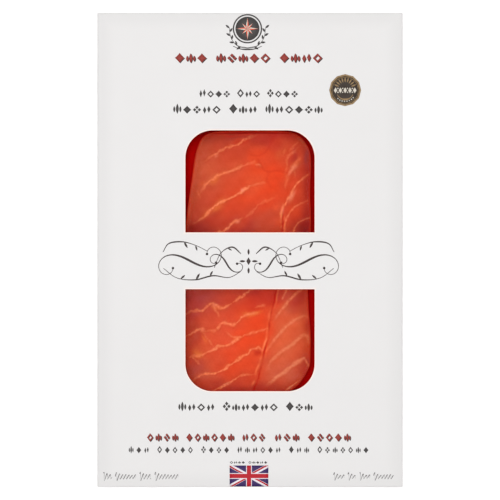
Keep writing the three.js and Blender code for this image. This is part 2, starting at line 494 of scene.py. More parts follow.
def windowRing(low, high, headRadius, footRadius, outerLow, outerHigh, across, up):
    # the window's outline and the rectangle round it, sampled alike: across points on head and foot and up
    # points on each side
    def around(lowest, highest, radii):
        corners = np.array([lowest, [highest[0], lowest[1]], highest, [lowest[0], highest[1]]], float)
        pieces = []
        for k in range(4):
            a, b = corners[k], corners[(k + 1) % 4]
            run = (b - a) / np.linalg.norm(b - a)
            inward = np.array([-run[1], run[0]])
            ra, rb = radii[k], radii[(k + 1) % 4]
            turn = np.linspace(math.pi / 4, math.pi / 2, 12)[:, None]
            arcA = a + ra * (run + inward) - ra * (np.cos(turn) * run + np.sin(turn) * inward)
            arcB = b + rb * (inward - run) + rb * (np.cos(turn[::-1]) * run - np.sin(turn[::-1]) * inward)
            line = np.vstack([arcA, arcB])
            length = lengthAlong(line)
            want = np.linspace(0, length[-1], (across if k % 2 == 0 else up) + 1)[:-1]
            pieces.append(resample(line, length, want))
        return np.vstack(pieces)

    inner = around(low, high, (footRadius, footRadius, headRadius, headRadius))
    return inner, around(outerLow, outerHigh, (0, 0, 0, 0))


def frontPanel():
    # one plate welded from two rings of rows, each from a window's outline out to a rectangle, and a block
    # at head and foot
    across, up, ringMargin, blockRows = 72, 48, 24, 11
    half = pane["width"] / 2
    bandY = (pane["upperFoot"] + pane["lowerHead"]) / 2
    upperHead = pane["upperFoot"] + pane["height"]
    lowerFoot = pane["lowerHead"] - pane["height"]
    headY, footY = upperHead + ringMargin, lowerFoot - ringMargin
    windows = [
        (pane["upperFoot"], upperHead, pane["radius"], 0, bandY, headY),
        (lowerFoot, pane["lowerHead"], 0, pane["radius"], footY, bandY),
    ]
    offsets = [0, 0.08, 0.25, 0.45, 0.7, 1.1, 1.8]
    points, faces, start = [], [], 0
    for foot, head, headRadius, footRadius, ringFoot, ringHead in windows:
        corners = (-half, foot), (half, head)
        ringCorners = (-panelX, ringFoot), (panelX, ringHead)
        inner, outer = windowRing(*corners, headRadius, footRadius, *ringCorners, across, up)
        share = ringShares(offsets, 12, np.linalg.norm(outer - inner, axis=1))
        plan = inner[None] + (outer - inner)[None] * share[..., None]
        x, y = plan[..., 0], plan[..., 1]
        drop = np.where(np.arange(len(share)) == 0, card["crush"], 0)[:, None]
        points.append(np.dstack([x, y, faceHeight(x, y) - drop]).reshape(-1, 3))
        faces.append(gridFaces(len(share), len(inner), start, wrap=True, flip=True))
        start += len(points[-1])
    for low, high in ((headY, panelY), (-panelY, footY)):
        points.append(facePlate(panelX, low, high, blockRows, across + 1))
        faces.append(gridFaces(blockRows, across + 1, start))
        start += len(points[-1])
    return closedSheet(*weld(np.vstack(points), faces), card["thickness"])


def foldStrips():
    # the sides, back and glue flap: two strips folded round the long edges, running head to foot
    t = card["thickness"]
    steps, hair = 36, 0.01
    sideX = cartonHigh[0] - t / 2
    topZ, lowZ = faceZ - t / 2, t / 2
    glueX = -sideX + t
    right = [(panelX, topZ), (sideX, topZ), (sideX, lowZ), (glueX, lowZ), (glueX, lowZ + card["glueFlap"])]
    left = [(-sideX, 0.3), (-sideX, topZ), (-panelX, topZ)]
    full = cartonHigh[1] - t
    shells = []
    for corners in (right, left):
        path, normals = foldedPath(corners, card["fold"])
        x, z = np.abs(path[:, 0]), path[:, 1]
        onSide = (x > sideX - hair) & (z > card["flapFree"] - 1e-6) & (z < faceZ - card["flapFree"])
        onGlue = (path[:, 0] < glueX + hair) & (z > 2) & (corners is right)
        onFold = (x > panelX + 0.4) & (z > faceZ - 0.7)
        reach = np.where(onGlue, full - card["glueSlant"] - z / 2, full)
        reach = np.where(onSide, full - card["sideShort"], reach)
        reach = np.where(onFold, cartonHigh[1] - card["foldReach"], reach)
        centre, normal = stripShell(path, normals, (0, 2, 1), reach, steps)
        middle = np.sin(np.clip((z - 1) / (faceZ - 2), 0, 1) * math.pi) * onSide
        swell = middle[:, None] * np.cos(np.linspace(-1, 1, steps + 1) * math.pi / 2) * card["sideBow"]
        shells.append((centre + normal * swell[..., None], normal))
    return shells


def endFlaps():
    # head and foot: a closure folded down from the front with its tucked tongue, over two dust flaps
    t = card["thickness"]
    endY = cartonHigh[1] - t / 2
    flapY = endY - t - 0.05
    sideX = cartonHigh[0] - t / 2
    topZ, lowZ = faceZ - t / 2, card["tongueZ"]
    shells = []
    corners = [(panelY, topZ), (endY, topZ), (endY, lowZ), (endY - card["tongue"], lowZ)]
    path, normals = foldedPath(corners, card["fold"], 3)
    tuck = np.clip((endY - path[:, 0]) / card["tongue"], 0, 1) * (path[:, 1] < 2)
    narrow = cartonHigh[0] - card["closureInset"] - card["tongueNarrow"] * (tuck > 0.05)
    reach = np.where(path[:, 1] > topZ - 0.01, panelX, narrow - card["tongueTaper"] * tuck**6)
    closure = stripShell(path, normals, (1, 2, 0), reach, 30)
    corners = [(sideX - card["flapLength"], flapY), (sideX, flapY), (sideX, cartonHigh[1] - t - 1)]
    path, normals = foldedPath(corners, card["fold"], 4)
    free = np.clip((sideX - path[:, 0]) / card["flapLength"], 0, 1)
    high = faceZ / 2 - card["flapFree"] - card["flapTaper"] * free**3
    flap = stripShell(path, normals, (0, 1, 2), high, 8)
    flap[0][..., 2] += faceZ / 2
    for turnY in (1, -1):
        for turnX, (centre, normal) in ((1, flap), (-1, flap), (1, closure)):
            flipped = np.array([turnX, turnY, 1.0])
            shells.append((centre * flipped, normal * flipped))
    return shells


def darker(colour, share):
    return tuple(share * c for c in colour)


def cardMaterial(name, colour, raw):
    # coated white board with a faint mottle; raw board is the uncoated inside and the cut edges
    paper = Shader(bpy.data.materials.new(name))
    mottle = paper.noise(60, 4)
    fibre = paper.noise(2600, 2, stretch=(1, 0.35, 1))
    shade = paper.mix(mottle, colour, darker(colour, card["mottle"]))
    if not raw:
        # painted shade: the face darkens over its last few mm towards the folds
        near = (panelX * mm - abs(paper.axis(0))).least(panelY * mm - abs(paper.axis(1)))
        low, high = (edge * mm for edge in card["margin"])
        shade = paper.mix(paper.ease(near, low, high, 1.0, 0.0), shade, darker(colour, card["paintedEdgeShade"]))
        # painted shade along the fold round the face
        fold = (near < 0.3 * mm) * (paper.axis(2) > (faceZ - card["panelInset"]) * mm)
        shade = paper.mix(fold, shade, darker(colour, card["paintedFoldShade"]))
        # the pale cut edge round the windows, with a painted pink reflection of the flesh
        shade = paper.mix(paper.attribute("rim", "Fac"), shade, card["cut"])
    rough, fibreHeight = (0.85 + 0.05 * mottle, 0.00006) if raw else (0.5 + 0.1 * mottle, 0.00002)
    normal = paper.bump(fibre, fibreHeight, 0.5)
    return paper.surface(Base_Color=shade, Roughness=rough, Normal=normal, Specular_IOR_Level=0.3)


def paneDistance(x, y):
    # distance in mm outside the nearest window's outline, a rectangle with two round corners; negative in it
    nearest = np.full(np.broadcast(x, y).shape, 1e9)
    for foot, roundHead in ((pane["upperFoot"], True), (pane["lowerHead"] - pane["height"], False)):
        dy = y - foot - pane["height"] / 2
        radius = np.where((dy > 0) == roundHead, pane["radius"], 0.0)
        outX = np.abs(x) - pane["width"] / 2 + radius
        outY = np.abs(dy) - pane["height"] / 2 + radius
        corner = np.hypot(np.maximum(outX, 0), np.maximum(outY, 0))
        outside = corner + np.minimum(np.maximum(outX, outY), 0) - radius
        nearest = np.minimum(nearest, outside)
    return nearest


def makeCarton():
    # all the card in one piece: front panel, strips and flaps, with the windows' pale rims, a cut edge with a
    # painted pink reflection of the flesh, as an attribute
    coated = cardMaterial("cardCoated", card["face"], False)
    raw = cardMaterial("cardRaw", card["raw"], True)
    shells = [frontPanel()]
    for centre, normal in foldStrips() + endFlaps():
        shells.append(sheetShell(centre, normal, card["thickness"]))
    carton = makePiece("cardCarton", shells, [coated, raw])
    place = np.vstack([points for points, _, _ in shells])
    # rim: the pale cut edge round the windows, carrying a painted pink reflection of the flesh
    rim = 1 - smooth(*card["rimFade"], paneDistance(place[:, 0], place[:, 1]))
    setAttribute(carton, "rim", rim * (place[:, 2] > faceZ - 0.2))
    return finishPiece(carton, "white_card", "carton")


# The backing board keeps its CAD shape and gets a glossy laminate

board = {
    "red": (0.86, 0.003, 0.003),
    "mottle": 0.9,
    "rough": 0.45,
    "shine": 0.0,
    "edgeShade": (31.0, 31.4, 0.82),  # mm from the middle where the card's shade begins and is full, its tone
}


def dressBoard():
    laminate = Shader(bpy.data.materials.new("redLaminate"))
    mottle = laminate.noise(45, 4)
    ripple = laminate.noise(260, 2)
    begin, full, share = board["edgeShade"]
    shaded = laminate.ease(abs(laminate.axis(0)), begin * mm, full * mm)
    tone = laminate.mix(mottle, board["red"], darker(board["red"], board["mottle"]))
    material = laminate.surface(
        Base_Color=laminate.mix(shaded, tone, darker(board["red"], share)),
        Roughness=board["rough"] + 0.08 * mottle,
        Specular_IOR_Level=board["shine"],
        Normal=laminate.bump(ripple, 0.00004, 0.4),
    )
    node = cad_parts["backing_board"]
    node.data.materials.clear()
    node.data.materials.append(material)
    print("dressed the backing board")


# The fillet: sections across it from its left side to its right side, joined from head to foot

salmon = {
    "crown": 15,
    "rim": 4,
    "undercut": 1.5,
    "undercutRise": 4,
    "domePower": 4.5,
    "domeWidth": 31,  # half width of the section that the columns are stepped on
    "endPower": 6.4,
    "endEase": 0.35,  # how much the rows crowd towards the ends
    "fade": 7,
    "rows": 400,
    "columns": 190,
    "underColumns": 10,
    "lit": 0.98,  # light that reaches the flesh, as a share of what reaches the card
    "ridge": 0.1,  # height of a fat line
    "seamDepths": [(0.38, 0.5), (0.2, 2.4)],  # depth and half width: a narrow groove in a wide one
    "creaseDepth": 0.05,
    "spread": 1.6,  # how strongly the normals near the outline lean upwards
    "spreadReach": 1.6,
    "wiggle": 0.34,
    "lineReach": 0.78,  # where a fat line's paleness has mostly faded, as a share of its half width
    "linePale": 0.92,
    "lineShade": 0.34,
    "lipOffset": 0.95,  # from the seam's middle to the middle of its pale lips
    "ragged": 2.2,  # mm by which the edges of the patches wander
    "edgeLight": (0.7, 1.9),  # how much brighter the steep sides are made, and how far in, in mm
    "mottle": (0.6, 1.6, 2.4),  # share of the mottle in red, green and blue
    "fibre": (0.5, 0.04, 0.015),
    "fibreShare": 0.12,
    "roughness": (0.4, 0.18),  # at its least, and how much the fibres add
    "glow": 0.5,  # share of the light that goes into the flesh, and how deep in metres
    "glowDepth": 0.0018,
    "glowColour": (1.0, 0.25, 0.1),
}
headPoint = [1, 59.1]
footPoint = [-8, -77]
leftSide = [headPoint, [-12, 58.9], [-19.8, 58.2], [-23.6, 56], [-26.5, 50], [-28.9, 36], [-31.9, 14]]
leftSide += [[-33.8, -8], [-34.8, -44], [-31, -67], footPoint]
rightSide = [headPoint, [14, 58.9], [21.3, 58.3], [25.9, 55.5], [29.5, 50], [30.4, 44.5], [30.1, 34]]
rightSide += [[30.0, 26], [30.4, 16], [29.9, 0], [28.9, -19], [29.3, -30], [30.3, -44], [30.1, -52]]
rightSide += [[29.8, -57.4], [26.3, -64.2], [21.8, -69], [8, -75.6], footPoint]
seam = [[27, 58], [23.4, 44], [18.6, 27], [16.3, 18], [15.9, 9], [14.8, -8], [13.2, -18.6], [12.5, -22]]
seam += [[12.0, -25.4], [11.0, -28.8], [10.3, -32.6], [9.5, -37], [9.3, -41], [8.8, -44.4], [7.7, -47.6]]
seam += [[6.9, -50.8], [6.3, -54.4], [5.6, -57.4], [4.6, -60.2], [4.2, -63.2], [3.4, -65.4], [2.3, -68]]
seam += [[1, -73]]

# How strong the seam's groove and its two pale lips are on the way down the fillet: y, half length, strength
gapes = [(11, 7.5, 0.9), (-8, 10, 0.7), (-23.5, 4.5, 1.0), (-31, 2, 0.45), (-37.4, 2, 0.75), (-49, 3.4, 1.0)]
gapes += [(-61.5, 4.5, 0.75), (-69, 4, 0.9)]
leftLips = [(18.6, 3, 0.8), (-33, 2.6, 0.5), (-40, 2.4, 0.6), (-46.4, 4.4, 1.0), (-53.5, 1.6, 0.5)]
leftLips += [(-58.2, 2.6, 1.0), (-65.5, 1.3, 0.5)]
rightLips = [(13.5, 4, 0.35), (-22.5, 5, 0.5), (-49.5, 3, 0.35)]

# Fat lines as the eye follows them, each from its lower left end to its upper right end:
# half width in mm, paleness, what is left of it at its two ends, and its points
fatLines = [
    (0.62, 0.62, 0.1, 0.1, [[-24, 43], [-19, 46.3], [-11.3, 50.5], [-5.4, 52.3], [-2.8, 54.4], [4, 57.2]]),
    (0.78, 0.75, 0.15, 0.4, [[-25.4, 27], [-20.6, 33.3], [-15, 37], [-7.4, 39.7], [-1.5, 42.4], [2.2, 43.2]]),
    (0.55, 0.35, 0.2, 0.2, [[-24.6, 25.5], [-25.8, 29.6]]),
    (0.66, 0.95, 0.2, 0.3, [
        [-28, 12.8], [-22.6, 16.6], [-16.2, 22.5], [-6.9, 26.9], [-3.4, 29.4], [1, 32], [7, 33.3],
    ]),
    (0.66, 0.75, 0.8, 0.3, [[-22, 5], [-16.4, 8.2], [-11.3, 10.6], [-7.4, 14.2], [-3.6, 15.6]]),
    (0.6, 0.28, 0.6, 0.2, [[-3.2, 15.8], [1, 18.6], [4.4, 22.4], [9.3, 24.6], [13.3, 26.6]]),
    (0.5, 0.7, 0.2, 0.3, [[2.6, 42.6], [4.4, 41.8], [5.6, 40.9]]),
    (0.55, 0.8, 0.5, 0.3, [[15.9, 10], [15.7, 19.1], [20.1, 27.4], [22.3, 31.6], [26, 35.3], [30.4, 38.2]]),
    (0.55, 0.6, 0.5, 0.3, [[16.7, 7], [17.7, 14.7], [21.8, 21], [28.5, 24.5]]),
    (0.5, 0.5, 0.5, 0.3, [[20.5, 6], [22.8, 12.2], [26, 14.7], [30.4, 16.3]]),
    (0.6, 0.7, 0.5, 0.5, [[-31, -7], [-20, -2], [-10, 0], [0, 4], [6, 6.4], [12.6, 7.4]]),
    (0.6, 0.7, 0.5, 0.5, [[-33, -19], [-22, -14], [-12, -12.5], [-2, -6], [6, -3], [13, -4]]),
    (0.55, 0.55, 0.5, 0.3, [[16.5, -12], [20, -2], [24, 3], [29, 6]]),
    (0.55, 0.55, 0.5, 0.3, [[16, -24], [21, -14], [25, -10], [28.5, -7]]),
    (0.62, 0.75, 0.4, 0.5, [
        [-33, -32], [-26.8, -29.8], [-23.6, -30], [-18.7, -26.3], [-13.7, -28.6], [-5.4, -23.6],
        [4, -17.6],
    ]),
    (0.5, 0.45, 0.8, 0.1, [[-18.2, -27.1], [-16.7, -30], [-14.7, -34]]),
    (0.6, 0.7, 0.4, 0.7, [[-32, -43], [-27.6, -40.4], [-24.1, -38.9], [-22.9, -40]]),
    (0.66, 0.8, 0.3, 0.25, [
        [-21.6, -39.9], [-16.7, -39.3], [-13.7, -35.9], [-8.3, -36.9], [-3.2, -32.5], [3.4, -30.8],
    ]),
    (0.5, 0.45, 0.8, 0.1, [[-24.1, -39.4], [-21.6, -42.8], [-19.3, -45.8], [-17.2, -48.4]]),
    (0.6, 0.55, 0.2, 0.2, [[2.4, -28.4], [7.6, -27]]),
    (0.66, 0.88, 0.4, 0.6, [
        [-29.5, -52.6], [-24.6, -52], [-18.9, -49.6], [-17.1, -48.7], [-15.8, -47.4], [-11.6, -47.2],
        [-8.3, -45.6], [-5, -43], [2, -40.6], [8.4, -38.9],
    ]),
    (0.5, 0.6, 0.2, 0.5, [[-11.8, -40.3], [-8.8, -42.8], [-5, -43.2]]),
    (0.55, 0.5, 0.8, 0.1, [[-28.5, -52.6], [-26.5, -54.6], [-24.6, -56.5]]),
    (0.62, 0.85, 0.3, 1, [
        [-28.5, -64.6], [-22.6, -61], [-17.2, -61], [-8.3, -55.6], [-2.2, -51.6], [-0.4, -51.2],
        [0, -49.4], [3, -48.5],
    ]),
    (0.72, 0.82, 1, 0.4, [[0.6, -49.2], [2.6, -48.5], [4.6, -48.2], [6.4, -49.6]]),
    (0.58, 0.65, 0.4, 0.2, [[-19, -70], [-15.5, -68.3], [-8.3, -64.4], [-4.4, -61.9], [3, -61]]),
    (0.72, 0.43, 0.1, 0.3, [[10.8, -36], [15.9, -29], [21.8, -22.4], [28, -18]]),
    (0.8, 0.48, 0.7, 0.3, [
        [8.2, -49.4], [13.6, -42.3], [20.3, -35.8], [24.4, -33.3], [27.4, -32.6], [28.8, -33.6],
    ]),
    (0.9, 0.49, 0.15, 0.2, [
        [8.8, -58.5], [10.4, -54.6], [14.6, -50.8], [21, -46.4], [27.2, -41.8], [28.6, -43.6],
        [29.2, -46],
    ]),
    (1.0, 0.55, 0.2, 0.8, [[8.4, -66.6], [13.8, -62.2], [19.6, -58.0], [26.6, -53.2]]),
    (0.45, 0.5, 0.7, 0.4, [[29.6, -58.4], [28.2, -55.8], [26.6, -53.2]]),
    (0.45, 0.5, 0.2, 0.4, [[17, -70], [20.6, -67.1], [24.6, -64.4]]),
]
# Strands that fan out from the seam at the head end
fatLines += [
    (0.9, 0.3, 0.3, 0.1, [
        [17.4, 37.6], [18.0, 40.4], [18.3, 44], [19, 46.1], [20.9, 47.7], [22.7, 49.6], [24.6, 51.3],
    ]),
    (0.6, 0.24, 0.2, 0.1, [[18.6, 48.2], [20.1, 49.8], [22.1, 51.6], [24.2, 54]]),
    (1.1, 0.36, 0.7, 0.1, [[18.7, 35.2], [19.3, 37.3], [20.2, 39], [21.5, 40.8], [23.7, 44.3], [26.2, 46.8]]),
    (0.45, 0.3, 0.3, 0.1, [[22.1, 35.8], [22.3, 37.6], [21.7, 39.4]]),
    (0.8, 0.26, 0.2, 0.1, [[16.2, 46.4], [16.7, 48], [17.8, 50.4]]),
    (0.8, 0.3, 0.6, 0.1, [[17.5, 30.5], [18, 34], [18.2, 38.6]]),
]
# Thin cracks with no fat in them, darkened with painted shade: half width, depth of colour, points
creases = [
    (0.35, 0.5, [[13.4, 58.5], [10.8, 53.9], [8.3, 49], [4.4, 46.6], [0.5, 47]]),
    (0.35, 0.55, [[4, 44.4], [6.9, 39.7], [9.6, 38.6], [13.3, 39.2], [18.2, 38.2]]),
    (0.7, 0.7, [[-6.8, 53.2], [-3, 53.2], [-1.2, 54.2]]),
    (0.75, 0.85, [[2.8, -51.2], [4.2, -50.1], [5.8, -51]]),
    (0.5, 0.4, [[9, 38], [8.4, 34.6], [10.4, 31]]),
]
# Pale knots where fat gathers: x, y, half lengths along and across, turn in degrees, paleness
knots = [
    (-3.7, 29.4, 0.9, 0.7, -50, 0.9),
    (-6.2, 14.0, 1.2, 0.85, 20, 0.8),
    (20.6, 26.6, 3.0, 1.1, 62, 0.75),
    (16.0, 19.4, 2.2, 0.8, 80, 0.6),
    (21.5, 40.8, 1.6, 1.1, 40, 0.4),
    (20.0, 38.6, 1.8, 0.7, 58, 0.5),
    (-16.7, 46.4, 1.2, 0.9, 30, 0.4),
    (1.4, -31.2, 2.4, 0.9, 18, 0.12),
    (-23.4, -39.2, 1.3, 1.1, 0, 0.4),
    (-25.4, -51.8, 2.4, 1.0, 10, 0.14),
    (-17.6, -27.2, 1.4, 0.9, 0, 0.35),
]
# The flesh's colours as they show under the pack's light, and broad patches of them; some are painted shade
# along the windows' edges and at the head, and painted sheen of the film:
# colour, x, y, half lengths along and across, turn in degrees, weight
flesh = {
    "general": (203, 70, 42),
    "bright": (232, 76, 35),
    "orange": (230, 68, 26),
    # painted sheen: the film's soft reflection, painted onto the flesh
    "paintedSheen": (190, 84, 60),
    # crimson: painted shade along the windows' edges and at the head, and a darker streak of the flesh by the
    # seam
    "crimson": (172, 44, 42),
    "scarlet": (206, 50, 30),
    # deep: painted shade in the upper window's lower corners
    "deep": (140, 26, 32),
    # violet: painted sheen of the film in the lower window, and painted shade at the upper window's right
    # edge
    "violet": (166, 66, 66),
    "tan": (224, 102, 63),
    "greyTan": (202, 92, 70),
    "fat": (243, 139, 92),
    "fatPale": (226, 138, 100),
    "knot": (240, 142, 106),
    "warm": (232, 122, 58),
    "amber": (216, 92, 48),
    "shade": (190, 26, 10),
    "groove": (190, 5, 0),
    # painted shade of the head's end where it drops away under the card
    "headEndShade": (160, 12, 5),
    "lip": (255, 138, 88),
    # rim: a painted red glow at the very edge, standing in for light spread through the flesh
    "rim": (255, 62, 40),
    "coral": (248, 100, 66),
    # painted shade across the head end, under the card's edge
    "headShade": (146, 48, 36),
}
patches = [
    ("paintedSheen", -27, 38, 34, 13, 80, 0.75),
    ("crimson", 2, 59.5, 40, 5, 0, 0.7),
    ("headShade", -6, 57.5, 26, 5, 0, 0.65),
    ("crimson", 13, 54.8, 9, 5, 0, 0.95),
    ("scarlet", 2, 57.1, 24, 1.2, 0, 0.5),
    ("crimson", 1, 55.4, 11, 1.8, 0, 0.3),
    ("bright", 7, 33, 17, 13, 60, 0.9),
    ("orange", 13.5, 33, 6, 8, 0, 0.6),
    ("bright", -8, 24, 14, 8, 30, 0.4),
    ("bright", 3, 44, 10, 6, 60, 0.5),
    ("deep", -27, 8, 14, 8, 40, 0.8),
    ("crimson", -3, 10, 10, 5.5, 15, 0.8),
    ("tan", -13, 37, 12, 7, 20, 0.35),
    ("deep", 28, 9, 9, 12, 20, 0.9),
    ("crimson", 30, 34, 30, 5, 90, 0.75),
    ("bright", 21, 18, 6, 4, 60, 0.5),
    ("amber", 16.5, 49, 5, 2.6, 60, 0.5),
    ("crimson", 21.4, 46.4, 3.6, 1.1, 58, 0.75),
    ("violet", 28, 46.4, 5.5, 1.6, 98, 0.8),
    ("warm", 22.4, 43, 3.4, 1.5, 58, 0.4),
    ("paintedSheen", 22.5, 41.5, 6, 3, 60, 0.6),
    ("paintedSheen", 6, 13, 10, 7, 30, 0.4),
    ("tan", 13.6, 20, 3, 4, 0, 0.5),
    ("violet", -26, -24, 14, 10, 30, 0.8),
    ("crimson", -29, -40, 24, 6, 95, 0.45),
    ("paintedSheen", -21, -61, 12, 6, -15, 0.8),
    ("bright", 1, -42, 20, 12, 75, 1.0),
    ("bright", -9, -54, 10, 8, 30, 0.6),
    ("crimson", 7, -20, 15, 5.5, 0, 0.85),
    ("scarlet", 3, -25, 12, 5, 20, 0.5),
    ("coral", -13, -42, 12, 8, 70, 0.4),
    ("paintedSheen", -28.5, -42, 8, 4, 90, 0.5),
    ("warm", -15.7, -27.6, 2.4, 1.3, -30, 0.5),
    ("shade", 4.3, -50.9, 2.0, 1.1, -10, 0.8),
    ("orange", 5.5, -39, 12, 4.5, 80, 0.7),
    ("scarlet", 18, -23.5, 10, 4, 10, 0.8),
    ("crimson", 20, -22.5, 8, 3, 10, 0.85),
    ("tan", 18, -43, 26, 9, 76, 0.95),
    ("crimson", 25, -23, 12, 5, 90, 0.6),
    ("greyTan", 19, -59, 10, 7, 0, 0.9),
    ("crimson", 28.9, -59.5, 3, 7, 0, 0.75),
    ("crimson", 29, -36, 2.5, 5, 0, 0.6),
    ("paintedSheen", 21, -29, 4, 3, 0, 0.5),
    ("violet", -27.5, -58.5, 6, 4.5, 0, 0.4),
    ("crimson", -2, -71, 34, 6, 0, 0.7),
    ("tan", -20.6, -47, 17, 4.5, 90, 0.32),
    ("tan", -20.6, 40, 6, 5, 0, 0.35),
    ("tan", 2, 32, 6, 5, 0, 0.3),
    ("tan", 17, -57.5, 6, 4, 0, 0.4),
    ("paintedSheen", 27.5, 53.5, 4, 3, 0, 0.6),
    ("general", -10, 19, 8, 3.5, 20, 0.5),
    ("bright", 13.7, 20, 3, 4, 0, 0.4),
    ("bright", 7, -50.6, 2.5, 3, 0, 0.6),
    ("orange", -6.5, -44, 3.5, 3, 0, 0.5),
    ("orange", 6.9, -44, 3, 4, 0, 0.5),
    ("warm", 2.0, -31.9, 4.2, 1.9, 16, 0.95),
    ("warm", -25.6, -51, 3.6, 2.2, 10, 0.75),
    ("warm", -21.4, -44, 4.2, 1.1, -56, 0.5),
    ("warm", -18.4, 35.0, 5.5, 1.9, 34, 0.65),
    ("warm", -18.2, 20.6, 5.5, 1.8, 36, 0.6),
]


def seen(colour, share=1.0):
    # a colour as seen, 0 to 255, as the linear colour of a surface that gets that share of the light
    c = np.array(colour, float) / 255
    return np.where(c > 0.04045, ((c + 0.055) / 1.055) ** 2.4, c / 12.92) / share


def blob(x, y, middleX, middleY, along, across, turn):
    # 1 at the middle, falling as a bell curve over the two half lengths
    c, s = cosSin(turn)
    u = ((x - middleX) * c + (y - middleY) * s) / along
    v = ((y - middleY) * c - (x - middleX) * s) / across
    return np.exp(-(u**2 + v**2) * 1.2)


def marbling(x, y):
    # how pale, how raised and how shaded the flesh is by its fat lines. The shade is on the foot side of each
    # line, and the lines right of the seam wander less
    wiggle = salmon["wiggle"] * (1 - 0.7 * smooth(-1, 2, seamOffset(x, y)))
    wanderX = x + wiggle * layered(x, y, 0, (1, 5, 11), (0.45, 2.2, 12))
    wanderY = y + wiggle * layered(x, y, 0, (1, 5, 13), (0.45, 2.2, 14))
    uneven = layered(x, y, 1, (0.35, 7, 15), (0.2, 3, 16))
    pale, raised, shaded = (np.zeros(x.shape) for _ in range(3))
    for halfWidth, strength, first, last, points in fatLines:
        distance, share, side = distanceTo(throughPoints(points, 8 * len(points)), wanderX, wanderY)
        begun, ended = smooth(0, 0.3, share), smooth(0, 0.3, 1 - share)
        ends = (first + (1 - first) * begun) * (last + (1 - last) * ended)
        reach = salmon["lineReach"] * halfWidth * uneven
        core = bell(distance, reach, 3) + 0.16 * bell(distance, 2.6 * reach)
        pale = np.maximum(pale, salmon["linePale"] * strength * ends * core)
        raised = np.maximum(raised, strength * ends * bell(distance, 1.2 * reach))
        aside = distance * side / reach
        below = bell(aside + 1.7, 1) + 0.4 * bell(aside - 1.8, 1)
        shaded = np.maximum(shaded, strength * ends * below * (distance < 4 * reach))
    return pale, raised, shaded


def seamOffset(x, y):
    # signed distance from the lengthwise seam, positive on its right
    distance, _, side = distanceTo(throughPoints(seam, 120), x + 0.1 * waves(x, y, 3, 21), y)
    return distance * side


def alongSeam(marks, y):
    # the greatest of the bell curves at that place along the seam
    return np.max([strength * bell(y - middle, half) for middle, half, strength in marks], axis=0)


def topRelief(x, y, raised):
    # height over the plain dome: fat lines, the seam's groove, cracks and broad swells
    offset = seamOffset(x, y)
    depth = (0.3 + 0.7 * alongSeam(gapes, y)) * smooth(58, 22, y)
    height = layered(x, y, salmon["ridge"] * raised, (0.18, 19, 31), (0.04, 6, 32))
    height -= depth * sum(deep * bell(offset, wide) for deep, wide in salmon["seamDepths"])
    for halfWidth, strength, points in creases:
        distance = distanceTo(throughPoints(points, 30), x, y)[0]
        height -= salmon["creaseDepth"] * strength * bell(distance, 1.6 * halfWidth)
    return height


def sectionAt(turn):
    # a superellipse |spread|^p + rise^p = 1 at an angle from its left end: spread from -1 to 1, rise 0 to 1
    p = salmon["domePower"]
    reach = (np.abs(np.cos(turn)) ** p + np.abs(np.sin(turn)) ** p) ** (-1 / p)
    return -np.cos(turn) * reach, np.abs(np.sin(turn)) * reach


def between(left, right, spread):
    # points across from left to right, spread from -1 to 1
    return (left + right) / 2 + (right - left) / 2 * spread[..., None]


def domeGrid(rows, columns, relief, grow=0.0):
    # rows from head to foot, columns from left to right, stepped evenly along each section's length;
    # thickness along the fillet is (1 - |2a - 1|^q)^0.5, a from 0 to 1
    share = np.linspace(0, 1, rows + 1)[1:-1]
    along = salmon["endEase"] * (0.5 - 0.5 * np.cos(math.pi * share)) + (1 - salmon["endEase"]) * share
    dense = np.linspace(0, 1, 1500)
    left = resample(throughPoints(leftSide, len(dense)), dense, along)[:, None]
    right = resample(throughPoints(rightSide, len(dense)), dense, along)[:, None]
    halfWidth, height = salmon["domeWidth"], salmon["crown"] - salmon["rim"]
    spread, rise = sectionAt(np.linspace(0, math.pi, 4001))
    run = np.concatenate([[0], np.cumsum(np.hypot(np.diff(spread) * halfWidth, np.diff(rise) * height))])
    step = np.linspace(0, run[-1], columns + 1)
    spread, rise = np.interp(step, run, spread)[None], np.interp(step, run, rise)[None]
    swell = np.sqrt(1 - np.abs(2 * along - 1) ** salmon["endPower"])[:, None]
    span = np.linalg.norm(right - left, axis=-1) / 2
    plan = between(left, right, spread * (1 + grow / span))
    x, y = plan[..., 0], plan[..., 1]
    outline = np.vstack([throughPoints(leftSide, 120), throughPoints(rightSide, 120)[::-1]])
    inside = distanceTo(outline, x, y)[0]
    z = filletFloor + salmon["rim"] * swell + height * swell * rise + grow * rise
    z = z + relief(x, y) * smooth(0, salmon["fade"], inside) * swell
    return np.dstack([x, y, z]), inside, span, left, right, swell


